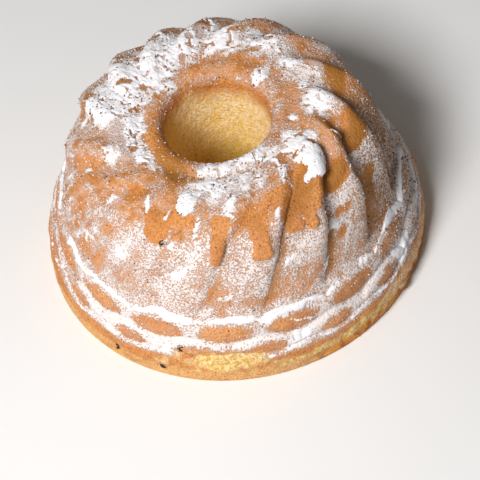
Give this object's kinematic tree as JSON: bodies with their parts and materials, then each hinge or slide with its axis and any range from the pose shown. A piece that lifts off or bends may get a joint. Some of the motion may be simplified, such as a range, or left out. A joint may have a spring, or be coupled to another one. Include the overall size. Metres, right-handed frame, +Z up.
{
  "type": "gugelhupf ring cake",
  "caption": "Tall fluted ring cake turned out of its mould: swirled lobes over the crown, two rows of scales above a plain foot, and a tapered hole through the middle.",
  "frame": {"origin": "middle of the flat base, on the surface the cake stands on", "axes": "+Z up along the hole's axis; -Y is the front, the side with the torn patch of crumb in the foot; +X is to the right when looking from the front"},
  "size_m": [0.2298, 0.23, 0.1109],
  "materials": {
    "baked_crust": null
  },
  "bodies": {
    "root": {"cake": "baked_crust"}
  },
  "joints": []
}
